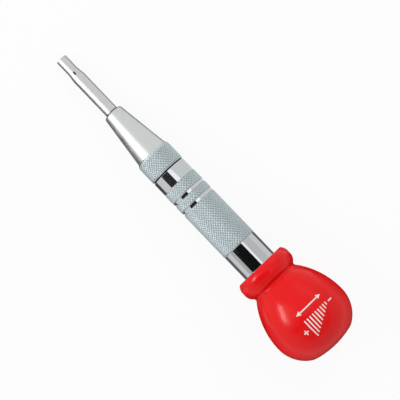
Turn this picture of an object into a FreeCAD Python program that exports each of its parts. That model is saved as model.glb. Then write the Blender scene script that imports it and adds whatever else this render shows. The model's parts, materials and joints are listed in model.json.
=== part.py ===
"""Automatic punch: a spring-loaded hand tool with a tubular tip, a knurled steel barrel and a palm knob.

Pressing the knob pushes the tip back into the nose. The spindle behind the tip carries the hammer back
against the main spring, until the cam sleeve brings the trip block's hole into line with the spindle's
pin, and the hammer flies forward on to the spindle. Turning the knob sets the main spring's load.

Every piece is modelled along the tool's own axis, which is X here: 0 is the front end of the tip, and
the knob is at the far end. resting_place then tips the whole tool until tip and knob both touch the
surface Z = 0. Lengths are in millimetres. A name that ends in _at is a place along the axis.
"""
import FreeCAD
import Part
import math
import os

Vector = FreeCAD.Vector
ORIGIN = Vector(0, 0, 0)
AXIS = Vector(1, 0, 0)
UP = Vector(0, 0, 1)

# ---------------------------------------------------------------- clearances
running_clearance = 0.05      # radial, on what slides or turns
fit_clearance = 0.03          # radial, on what is screwed or pushed together
seat_gap = 0.05               # axial, where a moving piece stands against its stop
edge_break = 0.25             # small chamfer on turned steel edges

# ---------------------------------------------------------------- punch tip
tip_front_diameter = 4.7
tip_rod_diameter = 5.6
tip_front_length = 6.8
tip_shoulder_length = 3.6
tip_projection = 29.95        # what stands out of the nose at rest
socket_diameter = 3.2         # the hollow in the end of the tip
socket_depth = 9.2
socket_point_angle = 118.0    # of the drill that made it
sight_slot_width = 0.7
sight_slot_length = 1.8
sight_slot_rear_wall = 0.1    # how far past the socket's depth the slot reaches
tip_thread_diameter = 4.0
tip_thread_length = 4.2

# ---------------------------------------------------------------- nose cap
nose_front_diameter = 8.5
nose_rear_diameter = 14.2
nose_cone_length = 23.05
nose_edge_radius = 1.0
knurl_diameter = 16.0         # over the crests, on the nose collar and the barrel
collar_chamfer_length = 1.2
collar_length = 9.35
relief_diameter = 14.6        # neck that shows as a dark line between nose and barrel
relief_length = 0.55
nose_thread_diameter = 12.4
nose_thread_length = 4.7
nose_bore_clearance = 0.15    # radial, round the rod in front of the bush
bush_diameter = 8.0
bush_length = 6.0
bush_setback = 10.6           # from the nose's front face to the bush

# ---------------------------------------------------------------- spindle and its spring
press_travel = 8.0            # how far the tip can be pushed in
spindle_head_diameter = 9.0
spindle_head_length = 4.0
spindle_diameter = 5.0
pin_diameter = 3.0
flight_length = 4.3           # the hammer's free flight before it strikes
return_wire_diameter = 0.8
return_coils = 6
return_spring_diameter = 8.8

# ---------------------------------------------------------------- guide bush
flange_length = 2.0
guide_hub_diameter = 6.8
guide_hub_length = 4.0

# ---------------------------------------------------------------- hammer and trip
hammer_diameter = 9.0
hammer_length = 24.0
hammer_rest_gap = 0.3         # between hammer and guide bush at rest
hammer_front_wall = 4.7       # in front of the trip block
hammer_hole_depth = 16.4
trip_block_length = 4.0
trip_block_width = 5.5
trip_block_foot = 3.1         # from the hammer's centre down to the block's lower end
trip_offset = 0.8             # how far the block stands off centre at rest
cam_clearance = 0.1           # between the block and the cam sleeve
cam_guide_length = 2.0
leaf_thickness = 0.3
leaf_width = 3.0
leaf_straight_length = 7.6
leaf_depth = 3.55             # from the hammer's centre down to the leaf's straight part
leaf_reach = 1.5              # how far the leaf lies short of the block's front
leaf_room = 0.35              # round the leaf in its groove
rivet_diameter = 1.2
rivet_head_diameter = 2.2
rivet_head_length = 0.5
rivet_grip = 1.3              # of the rivet's shank in the hammer
rivet_inset = 1.8             # from the leaf's rear end
spigot_diameter = 5.2         # on hammer and spring seat, inside the main spring
spigot_length = 4.0

# ---------------------------------------------------------------- main spring and adjuster
main_wire_diameter = 1.4
main_coils = 8
main_spring_diameter = 8.8
main_spring_length = 26.9
coil_sides = 16               # straight stretches in each turn of a coil spring
wire_sides = 8
seat_flange_length = 2.5
seat_spigot_length = 3.0
ball_diameter = 4.0
ball_dimple = 0.8             # how deep the ball sits in each dimple
ball_clearance = 0.02
adjuster_diameter = 10.9
adjuster_thread_length = 6.5
adjuster_stem_diameter = 7.9
advance_in = 3.75             # the knob's travel towards the tip
advance_out = 2.5             # and away from it
stop_ring_length = 1.0
stop_ring_bite = 0.5          # how far the ring sits in its groove
stop_ring_height = 1.0
stop_ring_opening = 40.0      # degrees left open in the ring

# ---------------------------------------------------------------- barrel
front_band_diameter = 15.6
front_band_length = 6.2
groove_diameter = 15.5
knurl_a_length = 4.9
groove_a_length = 1.45
knurl_b_length = 3.5
groove_b_length = 1.5
knurl_c_length = 23.15
rear_band_diameter = 15.6
knurl_chamfer = 0.3
barrel_end_wall = 1.0         # behind the stop ring
barrel_thread_lead = 1.0      # thread in front of the adjuster's furthest place
ring_height = 1.3             # of the rubber friction ring, which has a square section
ring_width = 1.6
ring_setback = 7.4            # from the barrel's rear end to the ring's middle

# ---------------------------------------------------------------- end cap, nut and knob
cap_bore_clearance = 0.1
cap_wall = 1.3
cap_web_length = 3.0
cap_room = 0.5                # left behind the barrel with the knob right in
nut_across_flats = 13.0
nut_length = 5.0
stem_past_nut = 0.6
knob_at = 115.4               # the knob's front face
knob_mouth_clearance = 0.2    # radial, round the barrel
lip_length = 1.6              # of the knob in front of the end cap
collar_crest_radius = 12.45
collar_crest_length = 1.5     # how long the collar is at its widest
collar_arc_radius = 4.2
collar_edge_radius = 1.0      # where the collar meets the front face
collar_crest_setback = 3.1    # from the front face to the collar's widest place
neck_radius = 1.0             # of the hollow between collar and bulb
knob_diameter = 35.0
knob_crest_setback = 29.0     # from the front face to the knob's widest place
knob_front_arc_radius = 32.0
knob_rear_arc_radius = 14.6
knob_corner_radius = 7.0      # of the tighter arc between the rear arc and the domed end
knob_corner_from_angle = 35.0
knob_corner_to_angle = 15.0
knob_flat_diameter = 6.0      # of the small flat in the middle of the domed end
nut_pocket_clearance = 0.1
nut_pocket_room = 0.8         # behind the stem

# ---------------------------------------------------------------- places along the axis
tip_rod_at = tip_front_length + tip_shoulder_length
nose_at = tip_projection
collar_at = nose_at + nose_cone_length
relief_at = collar_at + collar_length
barrel_at = relief_at + relief_length
nose_end_at = barrel_at + nose_thread_length
bush_at = nose_at + bush_setback
spindle_at = bush_at + bush_length + seat_gap
return_spring_at = spindle_at + spindle_head_length
flange_at = nose_end_at
sleeve_at = flange_at + flange_length
hammer_at = sleeve_at + hammer_rest_gap
anvil_at = hammer_at - flight_length
trip_block_at = hammer_at + hammer_front_wall
pin_end_at = trip_block_at - seat_gap
cam_at = trip_block_at + trip_block_length
sleeve_end_at = cam_at + press_travel + cam_guide_length
main_spring_at = hammer_at + hammer_length
seat_at = main_spring_at + main_spring_length
ball_at = seat_at + seat_flange_length + ball_diameter / 2 - ball_dimple
adjuster_at = ball_at + ball_diameter / 2 - ball_dimple
stem_at = adjuster_at + adjuster_thread_length
stop_ring_at = stem_at + advance_out + seat_gap
barrel_end_at = stop_ring_at + stop_ring_length + barrel_end_wall
thread_bore_at = adjuster_at - advance_in - barrel_thread_lead
knurl_a_at = barrel_at + front_band_length
groove_a_at = knurl_a_at + knurl_a_length
knurl_b_at = groove_a_at + groove_a_length
groove_b_at = knurl_b_at + knurl_b_length
knurl_c_at = groove_b_at + groove_b_length
ring_at = barrel_end_at - ring_setback - ring_width / 2
cap_at = knob_at + lip_length
cap_web_at = barrel_end_at + advance_in + cap_room
nut_at = cap_web_at + cap_web_length
stem_end_at = nut_at + nut_length + stem_past_nut
knob_crest_at = knob_at + knob_crest_setback

# ---------------------------------------------------------------- the knob's domed end
corner_from = math.radians(knob_corner_from_angle)
corner_to = math.radians(knob_corner_to_angle)
corner_at = knob_crest_at + (knob_rear_arc_radius - knob_corner_radius) * math.cos(corner_from)
corner_out = (knob_diameter / 2 - knob_rear_arc_radius
              + (knob_rear_arc_radius - knob_corner_radius) * math.sin(corner_from))
dome_radius = corner_out / math.sin(corner_to) + knob_corner_radius
dome_centre_at = corner_at - (dome_radius - knob_corner_radius) * math.cos(corner_to)
flat_angle = math.degrees(math.asin(knob_flat_diameter / 2 / dome_radius))
knob_end_at = dome_centre_at + dome_radius * math.cos(math.radians(flat_angle))

# ---------------------------------------------------------------- radii that fit each other
rod_radius = tip_rod_diameter / 2
chamber_radius = spindle_head_diameter / 2 + 2 * running_clearance
sleeve_bore_radius = hammer_diameter / 2 + running_clearance
relief_bore_radius = hammer_diameter / 2 + trip_offset + cam_clearance
pin_hole_radius = pin_diameter / 2 + 3 * running_clearance
counterbore_radius = nose_thread_diameter / 2 + fit_clearance
adjuster_bore_radius = adjuster_diameter / 2 + running_clearance
cap_bore_radius = rear_band_diameter / 2 + cap_bore_clearance
cap_radius = cap_bore_radius + cap_wall
ring_inner_radius = cap_bore_radius - fit_clearance - ring_height
stem_hole_radius = adjuster_stem_diameter / 2 + fit_clearance


# ---------------------------------------------------------------- ways of making a shape
def at(x, r):
    """A point of a turned outline: x along the axis, r out from it."""
    return Vector(x, 0, r)


def turned(*outline):
    """A solid turned about the axis. The outline is points, and edges where it is curved."""
    edges = []
    for here, after in zip(outline, outline[1:] + outline[:1]):
        if isinstance(here, Part.Edge):
            edges.append(here)
        start = here.lastVertex(True).Point if isinstance(here, Part.Edge) else here
        end = after.firstVertex(True).Point if isinstance(after, Part.Edge) else after
        if start.distanceToPoint(end) > 1e-7:
            edges.append(Part.LineSegment(start, end).toShape())
    return Part.Face(Part.Wire(edges)).revolve(ORIGIN, AXIS, 360)


def arc(centre, radius, from_angle, to_angle):
    """An arc of a turned outline. Angles are in degrees from the axis, towards the outside."""
    def on_arc(angle):
        turn = math.radians(angle)
        return centre + Vector(math.cos(turn), 0, math.sin(turn)) * radius

    middle = (from_angle + to_angle) / 2
    return Part.Arc(on_arc(from_angle), on_arc(middle), on_arc(to_angle)).toShape()


def rod(x, length, radius):
    """A plain cylinder on the axis, from x towards the knob."""
    return Part.makeCylinder(radius, length, at(x, 0), AXIS)


def block(x, length, width, low, high):
    """A box centred across the tool, from x towards the knob and from low to high."""
    return Part.makeBox(length, width, high - low, Vector(x, -width / 2, low))


def coil(x, length, outside_diameter, wire_diameter, coils):
    """A spring between x and x + length, its ends ground flat. Wire and turns are many-sided, not round."""
    mean_radius = (outside_diameter - wire_diameter) / 2
    pitch = length / coils
    turns = coils + wire_diameter / pitch
    path = []
    for step in range(math.ceil(turns * coil_sides) + 1):
        turn = step / coil_sides
        angle = 2 * math.pi * turn
        path.append(Vector(x - wire_diameter / 2 + pitch * turn,
                           mean_radius * math.cos(angle), mean_radius * math.sin(angle)))
    section = []
    for side in range(wire_sides + 1):
        angle = 2 * math.pi * side / wire_sides
        out = wire_diameter / 2 * math.cos(angle)
        section.append(path[0] + Vector(wire_diameter / 2 * math.sin(angle), out, 0))
    spring = Part.Wire(Part.makePolygon(path)).makePipeShell([Part.makePolygon(section)], True, False, 1)
    return spring.common(rod(x, length, outside_diameter))


# ---------------------------------------------------------------- tip and nose
def punch_tip():
    """The rod that does the work: hollow at the front, and screwed into the spindle behind."""
    front_radius = tip_front_diameter / 2
    socket_radius = socket_diameter / 2
    point = socket_radius / math.tan(math.radians(socket_point_angle / 2))
    thread_radius = tip_thread_diameter / 2
    tip = turned(
        at(socket_depth + point, 0),
        at(socket_depth, socket_radius),
        at(0, socket_radius),
        at(0, front_radius - edge_break),
        at(edge_break, front_radius),
        at(tip_front_length, front_radius),
        at(tip_rod_at, rod_radius),
        at(spindle_at, rod_radius),
        at(spindle_at, thread_radius),
        at(spindle_at + tip_thread_length, thread_radius),
        at(spindle_at + tip_thread_length, 0),
    )
    slot_end = socket_depth + sight_slot_rear_wall
    half = sight_slot_width / 2
    slot = block(slot_end - sight_slot_length + half, sight_slot_length - 2 * half,
                 sight_slot_width, 0, tip_rod_diameter)
    for end in (slot_end - sight_slot_length + half, slot_end - half):
        slot = slot.fuse(Part.makeCylinder(half, tip_rod_diameter, at(end, 0), UP))
    return tip.cut(slot)


def nose_cap():
    """The tapered nose with its knurled collar. Its rear end screws into the barrel."""
    front_radius = nose_front_diameter / 2
    collar_radius = knurl_diameter / 2
    rear_radius = nose_rear_diameter / 2
    thread_radius = nose_thread_diameter / 2
    bore_radius = rod_radius + nose_bore_clearance
    taper = math.degrees(math.atan2(rear_radius - front_radius, nose_cone_length))
    edge = arc(at(nose_at + nose_edge_radius, front_radius - nose_edge_radius),
               nose_edge_radius, 180, 90 + taper)
    return turned(
        at(nose_at, bore_radius),
        edge,
        at(collar_at, rear_radius),
        at(collar_at + collar_chamfer_length, collar_radius),
        at(relief_at - edge_break, collar_radius),
        at(relief_at, collar_radius - edge_break),
        at(relief_at, relief_diameter / 2),
        at(barrel_at, relief_diameter / 2),
        at(barrel_at, thread_radius),
        at(nose_end_at - edge_break, thread_radius),
        at(nose_end_at, thread_radius - edge_break),
        at(nose_end_at, chamber_radius),
        at(bush_at + bush_length, chamber_radius),
        at(bush_at + bush_length, bush_diameter / 2),
        at(bush_at, bush_diameter / 2),
        at(bush_at, bore_radius),
    )


def nose_bush():
    """The bronze bush, pressed into the nose, that the tip slides and turns in."""
    bush = rod(bush_at, bush_length, bush_diameter / 2)
    return bush.cut(rod(bush_at, bush_length, rod_radius + running_clearance))


def spindle():
    """Carries the tip, is struck on its step by the hammer, and pushes the trip block with its pin."""
    thread_bore = rod(spindle_at, tip_thread_length + seat_gap, tip_thread_diameter / 2 + fit_clearance)
    stem = turned(
        at(spindle_at, 0),
        at(spindle_at, spindle_head_diameter / 2),
        at(return_spring_at, spindle_head_diameter / 2),
        at(return_spring_at, spindle_diameter / 2),
        at(anvil_at, spindle_diameter / 2),
        at(anvil_at, pin_diameter / 2),
        at(pin_end_at, pin_diameter / 2),
        at(pin_end_at, 0),
    )
    return stem.cut(thread_bore)


def return_spring():
    """Pushes the spindle and tip out again."""
    return coil(return_spring_at, flange_at - return_spring_at, return_spring_diameter,
                return_wire_diameter, return_coils)


def guide_bush():
    """Guides the spindle's rear end. The nose cap clamps it against the cam sleeve."""
    hub_at = flange_at - guide_hub_length
    hub_radius = guide_hub_diameter / 2
    bore_radius = spindle_diameter / 2 + running_clearance
    flange_radius = nose_thread_diameter / 2
    return turned(
        at(hub_at, bore_radius),
        at(hub_at, hub_radius),
        at(flange_at, hub_radius),
        at(flange_at, flange_radius),
        at(sleeve_at, flange_radius),
        at(sleeve_at, bore_radius),
    )


# ---------------------------------------------------------------- hammer and trip
def cam_sleeve():
    """The hardened sleeve whose tapered bore centres the trip block as the hammer goes back."""
    outer_radius = nose_thread_diameter / 2
    return turned(
        at(sleeve_at, relief_bore_radius),
        at(sleeve_at, outer_radius),
        at(sleeve_end_at, outer_radius),
        at(sleeve_end_at, sleeve_bore_radius),
        at(cam_at + press_travel, relief_bore_radius - trip_offset),
        at(cam_at, relief_bore_radius),
    )


def hammer():
    """The sliding weight, with a cross slot for the trip block and a groove for its leaf spring."""
    radius = hammer_diameter / 2
    end_at = main_spring_at
    body = turned(
        at(hammer_at, 0),
        at(hammer_at, radius - edge_break),
        at(hammer_at + edge_break, radius),
        at(end_at - edge_break, radius),
        at(end_at, radius - edge_break),
        at(end_at, spigot_diameter / 2),
        at(end_at + spigot_length, spigot_diameter / 2),
        at(end_at + spigot_length, 0),
    )
    pin_hole = rod(hammer_at, hammer_hole_depth, pin_hole_radius)
    slot_width = trip_block_width + 2 * running_clearance
    slot = block(trip_block_at - running_clearance, trip_block_length + 2 * running_clearance,
                 slot_width, -hammer_diameter, hammer_diameter)
    groove_width = leaf_width + 2 * leaf_room
    groove_at = trip_block_at + trip_block_length
    groove = block(groove_at, leaf_end_at() + leaf_room - groove_at, groove_width,
                   -hammer_diameter, leaf_room - leaf_depth)
    bend_room = block(groove_at, leaf_bend_at() - groove_at, groove_width,
                      -hammer_diameter, leaf_room - trip_foot_at_rest() - leaf_thickness / 2)
    rivet_hole = Part.makeCylinder(rivet_diameter / 2, rivet_grip + leaf_room,
                                   Vector(rivet_at(), 0, -leaf_depth), UP)
    return body.cut([pin_hole, slot, groove, bend_room, rivet_hole])


def trip_foot_at_rest():
    """How far below the axis the trip block's lower end lies at rest."""
    return trip_block_foot - trip_offset


def leaf_bend_at():
    """Where the leaf spring starts to rise towards the block."""
    return trip_block_at + leaf_reach + 2 * trip_block_length


def leaf_end_at():
    """The rear end of the leaf spring."""
    return leaf_bend_at() + leaf_straight_length


def rivet_at():
    """The rivet's place near the rear end of the leaf."""
    return leaf_end_at() - rivet_inset


def trip_block():
    """The cross-sliding block. Its hole stands off centre at rest, so the spindle's pin pushes its face."""
    body = block(trip_block_at, trip_block_length, trip_block_width, -trip_block_foot, hammer_diameter / 2)
    body = body.common(rod(trip_block_at, trip_block_length, hammer_diameter / 2))
    body = body.cut(rod(trip_block_at, trip_block_length, pin_hole_radius))
    return body.translated(UP * trip_offset)


def trip_spring():
    """The leaf spring that holds the trip block off centre: a straight foot and a rising curve."""
    rise = leaf_depth - trip_foot_at_rest() - leaf_thickness / 2 - fit_clearance
    run = leaf_bend_at() - trip_block_at - leaf_reach
    bend_radius = (run ** 2 + rise ** 2) / (2 * rise)
    centre = Vector(leaf_bend_at(), -leaf_width / 2, bend_radius - leaf_depth)
    across = Vector(0, 1, 0)
    outer = Part.makeCylinder(bend_radius + leaf_thickness / 2, leaf_width, centre, across)
    inner = Part.makeCylinder(bend_radius - leaf_thickness / 2, leaf_width, centre, across)
    curve = outer.cut(inner)
    curve = curve.common(block(leaf_bend_at() - run, run, leaf_width, -leaf_depth - leaf_thickness, 0))
    foot = block(leaf_bend_at(), leaf_straight_length, leaf_width,
                 -leaf_depth - leaf_thickness / 2, -leaf_depth + leaf_thickness / 2)
    rivet_hole = Part.makeCylinder(rivet_diameter / 2 + fit_clearance, leaf_thickness,
                                   Vector(rivet_at(), 0, -leaf_depth - leaf_thickness / 2), UP)
    return curve.fuse(foot).removeSplitter().cut(rivet_hole)


def leaf_rivet():
    """Holds the leaf spring to the hammer."""
    under_leaf = -leaf_depth - leaf_thickness / 2
    head = Part.makeCylinder(rivet_head_diameter / 2, rivet_head_length,
                             Vector(rivet_at(), 0, under_leaf - rivet_head_length), UP)
    shank = Part.makeCylinder(rivet_diameter / 2, leaf_thickness / 2 + rivet_grip + leaf_room,
                              Vector(rivet_at(), 0, under_leaf), UP)
    return head.fuse(shank)


# ---------------------------------------------------------------- barrel
def barrel():
    """The body tube: two plain bands, three knurled ones and two grooves outside, and a stepped bore."""
    crest = knurl_diameter / 2
    groove = groove_diameter / 2
    front = front_band_diameter / 2
    rear = rear_band_diameter / 2
    outline = [
        at(barrel_at, counterbore_radius),
        at(barrel_at, front - edge_break),
        at(barrel_at + edge_break, front),
    ]
    knurls = (
        (knurl_a_at, knurl_a_length, front, groove),
        (knurl_b_at, knurl_b_length, groove, groove),
        (knurl_c_at, knurl_c_length, groove, rear),
    )
    for x, length, before, after in knurls:
        outline += [
            at(x, before),
            at(x + knurl_chamfer, crest),
            at(x + length - knurl_chamfer, crest),
            at(x + length, after),
        ]
    outline += [
        at(barrel_end_at - edge_break, rear),
        at(barrel_end_at, rear - edge_break),
        at(barrel_end_at, adjuster_bore_radius),
        at(thread_bore_at, adjuster_bore_radius),
        at(thread_bore_at, sleeve_bore_radius),
        at(sleeve_end_at, sleeve_bore_radius),
        at(sleeve_end_at, counterbore_radius),
    ]
    stop_groove = rod(stop_ring_at, stop_ring_length, adjuster_bore_radius + stop_ring_bite)
    ring_groove = rod(ring_at, ring_width, knurl_diameter).cut(rod(ring_at, ring_width, ring_inner_radius))
    return turned(*outline).cut([stop_groove, ring_groove])


def friction_ring():
    """The rubber ring that keeps the knob where it is turned to."""
    inner = ring_inner_radius
    outer = ring_inner_radius + ring_height
    return turned(
        at(ring_at, inner),
        at(ring_at, outer - edge_break),
        at(ring_at + edge_break, outer),
        at(ring_at + ring_width - edge_break, outer),
        at(ring_at + ring_width, outer - edge_break),
        at(ring_at + ring_width, inner),
    )


def stop_ring():
    """The open spring ring in the barrel's end that keeps the adjuster from coming out."""
    outer = adjuster_bore_radius + stop_ring_bite - fit_clearance
    ring = rod(stop_ring_at, stop_ring_length, outer)
    ring = ring.cut(rod(stop_ring_at, stop_ring_length, outer - stop_ring_bite - stop_ring_height))
    opening_width = 2 * outer * math.tan(math.radians(stop_ring_opening / 2))
    return ring.cut(block(stop_ring_at, stop_ring_length, opening_width, 0, 2 * outer))


# ---------------------------------------------------------------- main spring and adjuster
def main_spring():
    """Drives the hammer."""
    return coil(main_spring_at, main_spring_length, main_spring_diameter, main_wire_diameter, main_coils)


def thrust_ball(clearance=0.0):
    """The ball between spring seat and adjuster, so that the spring isn't wound up as the knob turns."""
    return Part.makeSphere(ball_diameter / 2 + clearance, at(ball_at, 0))


def spring_seat():
    """Stands behind the main spring and moves with the adjuster, without turning."""
    flange_radius = hammer_diameter / 2
    seat = rod(seat_at, seat_flange_length, flange_radius)
    seat = seat.fuse(rod(seat_at - seat_spigot_length, seat_spigot_length, spigot_diameter / 2))
    return seat.cut(thrust_ball(ball_clearance))


def adjuster_screw():
    """Runs in the barrel's rear thread. Its stem is fixed in the end cap."""
    thread_radius = adjuster_diameter / 2
    stem_radius = adjuster_stem_diameter / 2
    screw = turned(
        at(adjuster_at, 0),
        at(adjuster_at, thread_radius - edge_break),
        at(adjuster_at + edge_break, thread_radius),
        at(stem_at - edge_break, thread_radius),
        at(stem_at, thread_radius - edge_break),
        at(stem_at, stem_radius),
        at(stem_end_at - edge_break, stem_radius),
        at(stem_end_at, stem_radius - edge_break),
        at(stem_end_at, 0),
    )
    return screw.cut(thrust_ball(ball_clearance))


# ---------------------------------------------------------------- end cap, nut and knob
def end_cap():
    """The steel cup inside the knob. It slides over the barrel and holds the adjuster's stem."""
    return turned(
        at(cap_at, cap_bore_radius),
        at(cap_at, cap_radius - edge_break),
        at(cap_at + edge_break, cap_radius),
        at(nut_at - edge_break, cap_radius),
        at(nut_at, cap_radius - edge_break),
        at(nut_at, stem_hole_radius),
        at(cap_web_at, stem_hole_radius),
        at(cap_web_at, cap_bore_radius),
    )


def lock_nut():
    """Locks the adjuster's stem in the end cap."""
    corner = nut_across_flats / 2 / math.cos(math.pi / 6)
    corners = [Vector(nut_at, corner * math.cos(n * math.pi / 3), corner * math.sin(n * math.pi / 3))
               for n in range(6)]
    hexagon = Part.Face(Part.makePolygon(corners + corners[:1])).extrude(AXIS * nut_length)
    return hexagon.cut(rod(nut_at, nut_length, stem_hole_radius))


def knob():
    """The palm knob of red vinyl, pushed over the end cap: a rounded collar, a neck and a bulb."""
    mouth_radius = rear_band_diameter / 2 + knob_mouth_clearance
    pocket_radius = nut_across_flats / 2 / math.cos(math.pi / 6) + nut_pocket_clearance
    bulb_radius = knob_diameter / 2
    collar_front_centre = at(knob_at + collar_crest_setback, collar_crest_radius - collar_arc_radius)
    collar_rear_centre = collar_front_centre + at(collar_crest_length, 0)
    edge_offset = collar_edge_radius - collar_crest_setback
    edge_rise = math.sqrt((collar_arc_radius - collar_edge_radius) ** 2 - edge_offset ** 2)
    edge_centre = collar_front_centre + at(edge_offset, edge_rise)
    front_centre = at(knob_crest_at, bulb_radius - knob_front_arc_radius)
    rear_centre = at(knob_crest_at, bulb_radius - knob_rear_arc_radius)
    neck_centre = between_circles(collar_rear_centre, collar_arc_radius, front_centre,
                                  knob_front_arc_radius, neck_radius)
    edge_angle = slope(collar_front_centre, edge_centre)
    collar_angle = slope(collar_rear_centre, neck_centre)
    front_angle = slope(front_centre, neck_centre)
    return turned(
        at(knob_at, mouth_radius),
        arc(edge_centre, collar_edge_radius, 180, edge_angle),
        arc(collar_front_centre, collar_arc_radius, edge_angle, 90),
        arc(collar_rear_centre, collar_arc_radius, 90, collar_angle),
        arc(neck_centre, neck_radius, collar_angle + 180, front_angle + 180),
        arc(front_centre, knob_front_arc_radius, front_angle, 90),
        arc(rear_centre, knob_rear_arc_radius, 90, knob_corner_from_angle),
        arc(at(corner_at, corner_out), knob_corner_radius, knob_corner_from_angle, knob_corner_to_angle),
        arc(at(dome_centre_at, 0), dome_radius, knob_corner_to_angle, flat_angle),
        at(knob_end_at, 0),
        at(stem_end_at + nut_pocket_room, 0),
        at(stem_end_at + nut_pocket_room, pocket_radius),
        at(nut_at, pocket_radius),
        at(nut_at, cap_radius),
        at(cap_at, cap_radius),
        at(cap_at, mouth_radius),
    )


def slope(start, end):
    """The angle of the line from start to end, in degrees from the axis."""
    return math.degrees(math.atan2(end.z - start.z, end.x - start.x))


def between_circles(centre_a, radius_a, centre_b, radius_b, radius):
    """The centre of a circle that lies outside both and touches them, on the side away from the axis."""
    way = centre_b - centre_a
    apart = way.Length
    along = (apart ** 2 + (radius_a + radius) ** 2 - (radius_b + radius) ** 2) / (2 * apart)
    across = math.sqrt((radius_a + radius) ** 2 - along ** 2)
    way.normalize()
    return centre_a + way * along + Vector(-way.z, 0, way.x) * across


# ---------------------------------------------------------------- the tool on the table
def rest_angle():
    """The axis's slope, in degrees, when the tip's front edge and the knob's bulb touch the table."""
    run = knob_crest_at - edge_break
    drop = knob_diameter / 2 - knob_front_arc_radius - tip_front_diameter / 2
    return math.degrees(math.atan2(drop, run) + math.asin(knob_front_arc_radius / math.hypot(run, drop)))


def resting_place(tip, palm_knob):
    """Tips the tool to its rest angle, with the table at Z = 0 and the origin under its middle."""
    place = FreeCAD.Placement(ORIGIN, FreeCAD.Rotation(Vector(0, 1, 0), -rest_angle()))
    ends = Part.makeCompound([tip, palm_knob])
    ends.Placement = place
    box = ends.BoundBox
    place.Base = Vector(-(box.XMin + box.XMax) / 2, 0, -box.ZMin)
    return place


MAKERS = (
    punch_tip, nose_cap, nose_bush, spindle, return_spring, guide_bush, cam_sleeve, hammer, trip_block,
    trip_spring, leaf_rivet, barrel, main_spring, spring_seat, thrust_ball, adjuster_screw, stop_ring,
    friction_ring, end_cap, lock_nut, knob,
)

os.makedirs("parts", exist_ok=True)
pieces = {make.__name__: make() for make in MAKERS}
resting = resting_place(pieces["punch_tip"], pieces["knob"])
for name, shape in pieces.items():
    shape.Placement = resting.multiply(shape.Placement)
    shape.exportStep(f"parts/{name}.step")
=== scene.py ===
"""Automatic punch with a palm knob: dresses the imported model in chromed, knurled steel and red vinyl.

Every new piece is turned about the tool's own axis, which is X while a piece is being made: 0 is the front
end of the tip, and the knob is at the far end. place_of_tool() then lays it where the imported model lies.
"""
import bmesh
import bpy
import json
import math
from mathutils import Matrix, Vector


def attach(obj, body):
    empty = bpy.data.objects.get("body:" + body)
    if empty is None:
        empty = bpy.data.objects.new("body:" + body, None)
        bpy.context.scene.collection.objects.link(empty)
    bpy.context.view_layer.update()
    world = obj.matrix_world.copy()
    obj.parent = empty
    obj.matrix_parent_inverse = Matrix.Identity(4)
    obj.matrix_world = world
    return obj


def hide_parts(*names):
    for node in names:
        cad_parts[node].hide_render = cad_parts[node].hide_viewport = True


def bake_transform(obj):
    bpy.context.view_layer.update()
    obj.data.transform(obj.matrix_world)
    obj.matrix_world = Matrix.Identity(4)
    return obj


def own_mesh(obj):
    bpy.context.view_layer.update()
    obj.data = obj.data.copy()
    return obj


bl_info = {
    "name": "Automatic punch",
    "version": (1, 0, 0),
    "blender": (4, 5, 0),
    "location": "3D View > Sidebar > Punch",
    "description": "Makes the outside of a spring-loaded automatic punch over its construction model",
    "category": "Add Mesh",
}

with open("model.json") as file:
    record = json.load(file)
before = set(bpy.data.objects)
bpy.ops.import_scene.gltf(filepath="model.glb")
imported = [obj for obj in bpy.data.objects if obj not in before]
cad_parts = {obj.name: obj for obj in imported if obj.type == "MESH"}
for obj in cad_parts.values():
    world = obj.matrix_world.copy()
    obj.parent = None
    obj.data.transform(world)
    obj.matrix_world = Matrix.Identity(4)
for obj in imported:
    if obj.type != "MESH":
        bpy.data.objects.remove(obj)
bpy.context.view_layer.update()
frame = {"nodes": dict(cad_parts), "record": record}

MM = 0.001
TURN = 2 * math.pi
SAME_POINT = 1e-7
# How many sides a turned piece, a rounded edge, one coil of wire and the wire itself have.
TIP_STEPS = 88
STEEL_STEPS = 128
KNOB_STEPS = 144
EDGE_STEPS = 8
COIL_STEPS = 24
WIRE_SIDES = 12
# Between these angles from the axis the knob's bend is tighter.
CORNER_FROM = math.radians(35)
CORNER_TO = math.radians(15)
MOUNTS = {mount["name"]: mount for mount in frame["record"]["mounts"]}


def place_of_tool():
    """The matrix that lays the tool, made along X from the origin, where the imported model's axis is."""
    socket = MOUNTS["tip_socket"]
    along = -Vector(socket["axis"])
    across = Vector((0, 1, 0))
    up = along.cross(across)
    return Matrix.Translation(socket["pos_m"]) @ Matrix((along, across, up)).transposed().to_4x4()


TOOL = place_of_tool()


def reach(node):
    """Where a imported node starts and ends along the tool's axis, and its largest radius."""
    to_axis = TOOL.inverted()
    points = [to_axis @ vertex.co for vertex in frame["nodes"][node].data.vertices]
    places = [point.x for point in points]
    return min(places), max(places), max(math.hypot(point.y, point.z) for point in points)


TIP_END = reach("punch_tip")[1]
NOSE_START, NOSE_END, COLLAR_RADIUS = reach("nose_cap")
BARREL_START, BARREL_END, KNURL_RADIUS = reach("barrel")
KNOB_START, KNOB_END, BULB_RADIUS = reach("knob")


# ---------------------------------------------------------------- sizes and colours
def length(name, description, default):
    """A length that a user can change."""
    return bpy.props.FloatProperty(name=name, description=description, default=default, min=0.0,
                                   precision=5, unit="LENGTH")


def count(name, description, default):
    """A whole number that a user can change."""
    return bpy.props.IntProperty(name=name, description=description, default=default, min=3)


def colour(name, description, hex_value):
    """A colour that a user can change, from its sRGB hex value."""
    return bpy.props.FloatVectorProperty(name=name, description=description, size=3, min=0.0, max=1.0,
                                         subtype="COLOR", default=linear(hex_value))


def linear(hex_value):
    """The linear colour of an sRGB hex value such as "C8102E"."""
    channels = [int(hex_value[i:i + 2], 16) / 255 for i in (0, 2, 4)]
    return tuple(c / 12.92 if c <= 0.04045 else ((c + 0.055) / 1.055) ** 2.4 for c in channels)


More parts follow.
